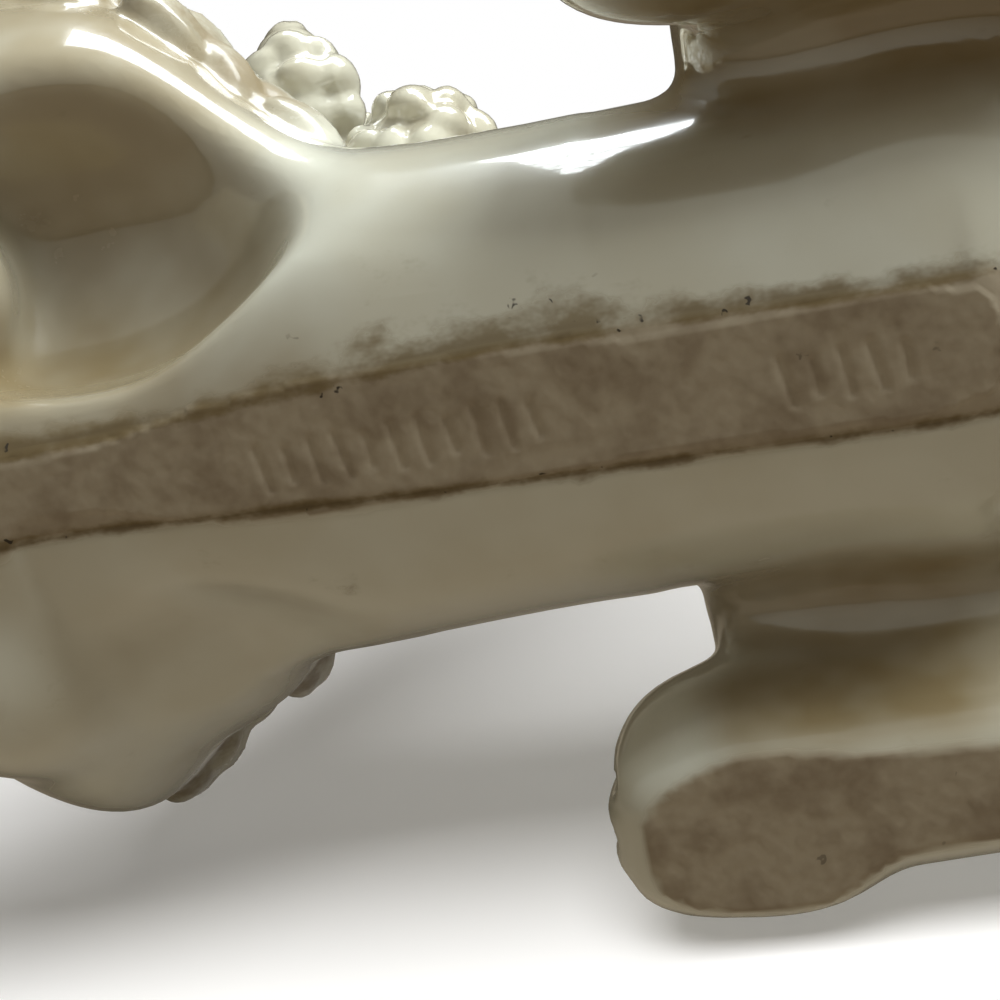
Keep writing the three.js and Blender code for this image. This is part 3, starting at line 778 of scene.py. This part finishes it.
keep_numbers(body.data, "rim", rim)
print("share bare, stained rim:", [round(float(v.mean()), 3) for v in (bare, rim)])

# %% Painted shade in the mane's hollow, behind the thighs and on the upper curls
SHADE_HEM = (-88, -76)  # where the painted shade under the mane ends, towards the chest
# Painted shade: browner in the mane's hollow and along the strip beneath it, in the recesses
# behind the thighs, and a little on the upper curls.
shaded_mane_hollow = (0.72 + 0.25 * ease(y, -25, -8)) * ease(-x, 18, 34) * ease(x, *SHADE_HEM)
shaded_mane_hollow *= ease(-y, -10, 8) * ease(UNDER_EDGE + 6 - z, 0, 8)
shade_by_strip = ease(-x, 8, 26) * ease(x, *SHADE_HEM) * np.exp(-(np.maximum(to_edge, 0) / 6.5) ** 2)
shaded_mane_hollow = np.maximum(shaded_mane_hollow, shade_by_strip * upper * (z < 12))
shade_behind_thighs = ease(x, 10, 18) * ease(abs(y), 20, 26) * ease(-y, -44, -37) * ease(-z, -40, -30)
shade_behind_thighs *= ease(y, -54, -47) * ease(-normals[:, 2], -0.15, 0.35)
shade_on_upper_curls = 0.35 * ease(z, 60, 75)
keep_numbers(body.data, "dusty", np.maximum(np.maximum(shaded_mane_hollow, shade_behind_thighs), shade_on_upper_curls))
print("share dusty:", [round(float(v.mean()), 3) for v in (shaded_mane_hollow, shade_behind_thighs, shade_on_upper_curls)])

# %% [markdown]
# ## Into metres, and onto the measured solid
# The work above was in millimetres round a point under the belly. The finished piece is moved so
# that the middle of the figurine stands over the origin, then it takes the place of the solid.
# %% The finished piece
body.data.transform(Matrix.Translation((-MIDDLE[0], -MIDDLE[1], 0)))
body.data.transform(Matrix.Scale(MM, 4))
low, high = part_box("poodle_figurine")
places = read_corners(body.data)
places = np.clip(places, np.array(low), np.array(high))
body.data.vertices.foreach_set("co", places.ravel())
body.data.polygons.foreach_set("use_smooth", np.ones(len(body.data.polygons), bool))
body.data.materials.clear()
body.data.materials.append(glaze)
body.data.update()
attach(body, "root")
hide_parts("poodle_figurine")
print("finished piece, mm:", [round(float(v) / MM, 1) for v in places.max(0) - places.min(0)])

# %% [markdown]
# ## Writing shader maths as sums
# The stains are sums and products of masks and noise. In the Shader Editor that would be some
# sixty nodes, laid by hand. A small class wraps a socket instead, so that plus, minus and times
# on it add the Math nodes, and one method adds any other node.
# %% Sockets that can be added and multiplied
glaze.use_nodes = True


class Flow:
    """A socket of a material, with arithmetic."""

    def __init__(self, tree, socket):
        self.tree = tree
        self.socket = socket

    def add(self, kind, values=None, out=0, **settings):
        node = self.tree.nodes.new(kind)
        for key, value in settings.items():
            setattr(node, key, value)
        for key, value in (values or {}).items():
            if isinstance(value, Flow):
                self.tree.links.new(value.socket, node.inputs[key])
            else:
                node.inputs[key].default_value = value
        return Flow(self.tree, node.outputs[out] if node.outputs else None)

    def maths(self, operation, a, b=0.0, clamp=False):
        return self.add("ShaderNodeMath", {0: a, 1: b}, operation=operation, use_clamp=clamp)

    def __add__(self, other):
        return self.maths("ADD", self, other)

    def __mul__(self, other):
        return self.maths("MULTIPLY", self, other)

    def __sub__(self, other):
        return self.maths("SUBTRACT", self, other)

    def __rsub__(self, other):
        return self.maths("SUBTRACT", other, self)

    __radd__ = __add__
    __rmul__ = __mul__

    def between(self, low, high):
        """0 below low, 1 above high, smooth between."""
        return self.add("ShaderNodeMapRange", {0: self, 1: low, 2: high},
                        interpolation_type="SMOOTHSTEP")

    def clamped(self):
        return self.maths("ADD", self, 0.0, clamp=True)

    def most(self, other):
        return self.maths("MAXIMUM", self, other)

    def mix(self, a, b):
        """Colour a where this is 0, b where it is 1."""
        return self.add("ShaderNodeMix", {0: self, 6: a, 7: b}, out=2, data_type="RGBA")


print("reflected forms:", [name for name in vars(Flow) if name.startswith("__r")])

# %% [markdown]
# ## Glaze, bare clay, dirt and painted shade
# The finish has layers: a cream glaze under a clear gloss, painted shade in the deep places, brown
# stain that ran into creases (deepened there with painted shade), rims and along the strip, bare
# fired clay where the glaze was wiped off, and dark specks. Painted images would do, but show
# their pixels close by. The layers are mixed here from masks and noise on Object coordinates, so
# they stay on the piece from every side.
# %% Colours of the finish
CREAM = (0.52, 0.505, 0.42, 1)
WARM = (0.47, 0.44, 0.345, 1)
# the brown of the painted shade in hollows, recesses and on the upper curls
SHADE_BROWN = (0.22, 0.165, 0.085, 1)
CLAY = (0.345, 0.29, 0.21, 1)
CLAY_DARK = (0.21, 0.16, 0.105, 1)
STAIN = (0.15, 0.105, 0.045, 1)
STAIN_DARK = (0.08, 0.053, 0.022, 1)
SPECK = (0.03, 0.021, 0.013, 1)
GRAINS = 480.0  # cells a metre, of which few become specks
GRAIN_WOBBLE = (0.0014, 0.0014, 0.0014)  # metres by which their outlines are bent
nodes = glaze.node_tree.nodes
nodes.clear()
start = Flow(glaze.node_tree, None)
place = start.add("ShaderNodeTexCoord", out=3)  # Object


def mask(name):
    return start.add("ShaderNodeAttribute", out=2, attribute_name=name)


def noise(scale, detail=3.0, rough=0.55, stretch=None):
    at = place
    if stretch:
        at = start.add("ShaderNodeMapping", {0: place, 3: stretch})
    return start.add("ShaderNodeTexNoise", {
        "Vector": at, "Scale": scale, "Detail": detail, "Roughness": rough,
    })


crease, bare_clay, seam_line = mask("crease"), mask("bare"), mask("seam")
seam_near, mane_rim, dusty = mask("near seam"), mask("rim"), mask("dusty")
cloudy = noise(45).between(0.35, 0.7)
patchy = noise(130, 3.0).between(0.42, 0.66)
fine = noise(600, 2.0).between(0.3, 0.7)
ragged = noise(170, 4.0, 0.65, stretch=(0.7, 1.0, 1.0))
print("masks and noises, nodes:", len(nodes))

# %% Where the dirt and the painted shade are, and the colour
rim_dirt = mane_rim * 0.35 + (mane_rim + 2.2 * ragged).between(1.6, 2.2) * mane_rim * 0.65
# Brown stain in the creases, deepened on the curls with painted shade.
crease_stain_and_shade = crease * (mane_rim * 0.6 + 0.3) * (0.35 + 0.65 * cloudy)
seam_dirt = seam_line * (0.45 + 0.5 * patchy)
smudge = (seam_near + 2.4 * ragged).between(1.5, 2.3)
# Stain and dirt, with the painted shade of the creases, in one mask that also dulls the gloss.
dirt_and_shade = rim_dirt.most(crease_stain_and_shade).most(seam_dirt).most(smudge).clamped()

cream = cloudy.mix(CREAM, WARM)
clay = (patchy * 0.65 + fine * 0.2).mix(CLAY, CLAY_DARK)
# Painted shade: the cream turns brown by the mask of hollows, recesses and upper curls.
cream = (dusty * (0.75 + 0.35 * cloudy)).clamped().mix(cream, SHADE_BROWN)
surface = bare_clay.mix(cream, clay)
stained = (dirt_and_shade * 0.85).mix(surface, STAIN)
stained = ((seam_line * 0.75 + 1.8 * ragged).between(1.3, 1.9) * 0.8).mix(stained, STAIN_DARK)
wobble = start.add("ShaderNodeTexNoise", {"Vector": place, "Scale": 1500.0, "Detail": 0.0}, out=1)
loose = start.add("ShaderNodeVectorMath", {
    0: wobble, 1: GRAIN_WOBBLE, 2: place,
}, operation="MULTIPLY_ADD")
grain = start.add("ShaderNodeTexVoronoi", {"Vector": loose, "Scale": GRAINS})
picked = Flow(grain.tree, grain.socket.node.outputs["Color"])
chosen = start.add("ShaderNodeSeparateColor", {0: picked})
lucky = (chosen + 0.25 * seam_near).between(0.94, 0.97)
specks = (1 - grain.between(0.12, 0.22)) * lucky * (seam_near * 2 + bare_clay * 0.5).clamped()
colour = specks.mix(stained, SPECK)
print("with the colour:", len(nodes))

# %% Gloss, the clay's grain and the shader
rough = 0.16 + 0.5 * bare_clay + 0.35 * dirt_and_shade + 0.04 * fine
coat = (1 - bare_clay) * (1 - 0.75 * dirt_and_shade)
grit, lumps = noise(600, 0.0).between(0.3, 0.7), noise(130, 1.0).between(0.42, 0.66)
relief = (grit * 0.35 + lumps * 0.65) * bare_clay * 0.5
bump = start.add("ShaderNodeBump", {"Height": relief, "Distance": 0.00025, "Strength": 0.8})
shader = start.add("ShaderNodeBsdfPrincipled", {
    "Base Color": colour, "Roughness": rough.clamped(), "Coat Weight": coat.clamped(),
    "Coat Roughness": 0.04, "Normal": bump, "IOR": 1.5,
})
start.add("ShaderNodeOutputMaterial", {0: shader})
print("nodes in the finish:", len(nodes))

# %% [markdown]
# ## Table and floor
# In the photograph the figurine lies on its side on a white table, so the table is a plane that
# touches the foot's outer edge. A second plane is the floor under the figurine, for all other
# views. Both are seen from their front only: from behind they let the eye and the light through.
# One white would do for both eye and light, but it threw back so much that the flank lost its
# shade. So the light that bounces meets a dimmer, warmer table, and the eye a white one.
# %% Two pale planes
PAPER = (0.82, 0.82, 0.82, 1)
LIFT = 0.17  # how far its shadows are lifted, as in a photograph cut out on white
BOUNCED = (0.32, 0.275, 0.21, 1)  # a dimmer table for the light it throws back


def plane(name, at, turn, size=6):
    """A stage plane that is seen from its front only."""
    half = size / 2
    flat = np.array([(-half, -half, 0), (half, -half, 0), (half, half, 0), (-half, half, 0)])
    made = object_of(mesh_of(name, flat @ turn.T + np.array(at), np.array([[0, 1, 2, 3]])))
    paper = bpy.data.materials.new(name)
    paper.use_nodes = True
    paper.node_tree.nodes.clear()
    sheet = Flow(paper.node_tree, None)
    behind = sheet.add("ShaderNodeNewGeometry", out=6)  # Backfacing
    looked_at = sheet.add("ShaderNodeLightPath")  # 1 for what the eye sees, 0 for bounced light
    shade = looked_at.mix(BOUNCED, PAPER)
    pale = sheet.add("ShaderNodeBsdfDiffuse", {"Color": shade})
    glow = sheet.add("ShaderNodeEmission", {"Strength": looked_at * LIFT})
    pale = sheet.add("ShaderNodeAddShader", {0: pale, 1: glow})
    clear = sheet.add("ShaderNodeBsdfTransparent")
    both = sheet.add("ShaderNodeMixShader", {0: behind, 1: pale, 2: clear})
    sheet.add("ShaderNodeOutputMaterial", {0: both})
    made.data.materials.append(paper)
    return made


GAP = 0.0004  # between a plane and the figurine, metres
table = plane("table", (0, high[1] + GAP, 0), spin("X", 90))
table.visible_shadow = False
floor = plane("floor", (0, 0, -GAP), STRAIGHT)
floor.visible_diffuse = False
floor.visible_glossy = False
floor.visible_shadow = False
print("table faces", [round(v, 2) for v in table.data.polygons[0].normal])

# %% [markdown]
# ## The photographer's place
# The camera looks up at the belly from close by, a little from the front and from the left. It
# could be moved by hand until the outlines agree. Here its place follows from what was measured:
# two tilts, a roll and the distance at which ten pixels make a millimetre.
# %% Camera
TILT_X, TILT_Y, ROLL = math.radians(12), math.radians(14), math.radians(9)
PIXELS = 1000
FOCUS = 1700  # focal length in pixels
SENSOR = 36  # mm
AIM = (500, 421)  # where the point under the belly is seen
DISTANCE = 170  # from the eye to that point, mm along the view
forward = Vector((-math.tan(TILT_X), math.tan(TILT_Y), 1)).normalized()
right = (Vector((1, 0, 0)) - forward * forward.x).normalized()
up = right.cross(forward)
right, up = (
    math.cos(ROLL) * right - math.sin(ROLL) * up,
    math.sin(ROLL) * right + math.cos(ROLL) * up,
)
aside, above = (AIM[0] - PIXELS / 2) / FOCUS, (PIXELS / 2 - AIM[1]) / FOCUS
eye = -DISTANCE * (forward + aside * right + above * up)
eye = (eye - Vector((*MIDDLE, 0))) * MM
lens = bpy.data.cameras.new("photograph")
lens.sensor_width = SENSOR
lens.lens = SENSOR * FOCUS / PIXELS
lens.clip_start = 0.01
camera = bpy.data.objects.new("photograph", lens)
turned = Matrix((right, up, -forward)).transposed().to_4x4()
camera.matrix_world = Matrix.Translation(eye) @ turned
bpy.context.scene.collection.objects.link(camera)
bpy.context.scene.camera = camera
print("camera at", [round(v, 3) for v in eye], "lens", lens.lens)

# %% [markdown]
# ## Soft light
# The photograph's light comes from a window beyond the top of the picture. It lies in the glaze as
# a bright, veined patch, and is small enough to throw the foot's shadow on the flank. A picture
# of a real room could light the scene, but couldn't be changed light by light. So one area light
# is the window, and its veins are noise. A second, which the glaze doesn't mirror, is the glow
# of its sill, and two weak ones fill in from below and from behind. The table has a lamp of its
# own, kept off the figurine by light linking, because the two were lit apart.
# %% Lamps
AIMED_AT = (0, 0, 0.03)
DAYLIGHT = (0.93, 1, 1.03)


def lamp(name, at, wide, tall, radiance, colour=(1, 1, 1), mirrored=True):
    """A flat lamp that shines as brightly as a surface of that radiance."""
    data = bpy.data.lights.new(name, "AREA")
    data.shape = "RECTANGLE"
    data.size = wide
    data.size_y = tall
    data.energy = radiance * math.pi * wide * tall
    data.color = colour
    made = bpy.data.objects.new(name, data)
    made.location = at
    made.rotation_mode = "QUATERNION"
    made.rotation_quaternion = (Vector(AIMED_AT) - Vector(at)).to_track_quat("-Z", "Y")
    made.visible_glossy = mirrored
    bpy.context.scene.collection.objects.link(made)
    return made


def towards(azimuth, elevation, distance):
    """A point seen at these angles from the figurine: azimuth 0 is straight out from its left."""
    a, e = math.radians(azimuth), math.radians(elevation)
    level_part = distance * math.cos(e)
    return level_part * math.sin(a), -level_part * math.cos(a), distance * math.sin(e)


on_piece = [
    lamp("window", towards(20.5, 28, 0.9), 0.83, 0.4, 12, DAYLIGHT),
    lamp("sill", towards(37, 2, 0.9), 0.8, 0.38, 17, DAYLIGHT, mirrored=False),
    lamp("wall", (-0.2, 0.02, -0.9), 0.8, 0.8, 0.5, (1, 0.93, 0.82), mirrored=False),
    lamp("room behind", towards(170, 42, 1.2), 1, 0.9, 2.6),
]
on_table = [lamp("over the table", towards(0, -22, 1), 1, 0.7, 5.9)]
print("lamps, watts:", {made.name: round(made.data.energy, 1) for made in on_piece + on_table})

# %% Veins in the window, and which lamp lights what
panes = on_piece[0].data
panes.use_nodes = True
pane = Flow(panes.node_tree, None)
across_it = pane.add("ShaderNodeNewGeometry", out=5)  # Parametric: the place on the lamp
leaves = pane.add("ShaderNodeTexNoise", {
    "Vector": across_it, "Scale": 9.0, "Detail": 2.0, "Distortion": 1.2,
})
veins = pane.add("ShaderNodeMath", {0: leaves - 0.5}, operation="ABSOLUTE").between(0.0, 0.07)
panes.node_tree.links.new((0.06 + 1.1 * veins).socket, panes.node_tree.nodes["Emission"].inputs[1])
for name, lamps, lit in (("piece", on_piece, (body, floor)), ("table", on_table, (table,))):
    receivers = bpy.data.collections.new("light for the " + name)
    for thing in lit:
        receivers.objects.link(thing)
    for source in lamps:
        source.light_linking.receiver_collection = receivers
    print(receivers.name + ":", len(lamps), "lamps on", len(lit), "things")

# %% [markdown]
# ## The room in the glaze
# Glaze is a mirror, and most of what it shows is the room: pale towards the window and dark brown
# below. A backdrop of planes could stand there. A world of two colours is less to look after. It
# is dimmed for matt light, which the lamps give already, and to the eye it is plain white.
# %% The world
PALE_SIDE = (-0.15, -0.83, -0.54)  # the way to the pale side of the room
PALE_WALLS = (0.62, 0.63, 0.56, 1)
DARK_WALLS = (0.06, 0.045, 0.028, 1)
WHITE = (1, 1, 1, 1)
DIMMED = 0.85  # share of the room's light that matt surfaces don't get
world = bpy.data.worlds.new("pale room")
bpy.context.scene.world = world
world.use_nodes = True
sky = world.node_tree.nodes["Background"]
air = Flow(world.node_tree, None)
seen = air.add("ShaderNodeLightPath")  # 1 for what the eye sees
way = air.add("ShaderNodeTexCoord")
ahead = air.add("ShaderNodeVectorMath", {0: way, 1: PALE_SIDE}, out=1, operation="DOT_PRODUCT")
on_matt = air.add("ShaderNodeLightPath", out=2)  # 1 for light that falls on a matt surface
room = (ahead.between(-0.1, 0.95) * (1 - DIMMED * on_matt)).mix(DARK_WALLS, PALE_WALLS)
backdrop = seen.mix(room, WHITE)
world.node_tree.links.new(backdrop.socket, sky.inputs["Color"])
bpy.context.scene.view_settings.view_transform = "Standard"
print("nodes in the world:", len(world.node_tree.nodes))
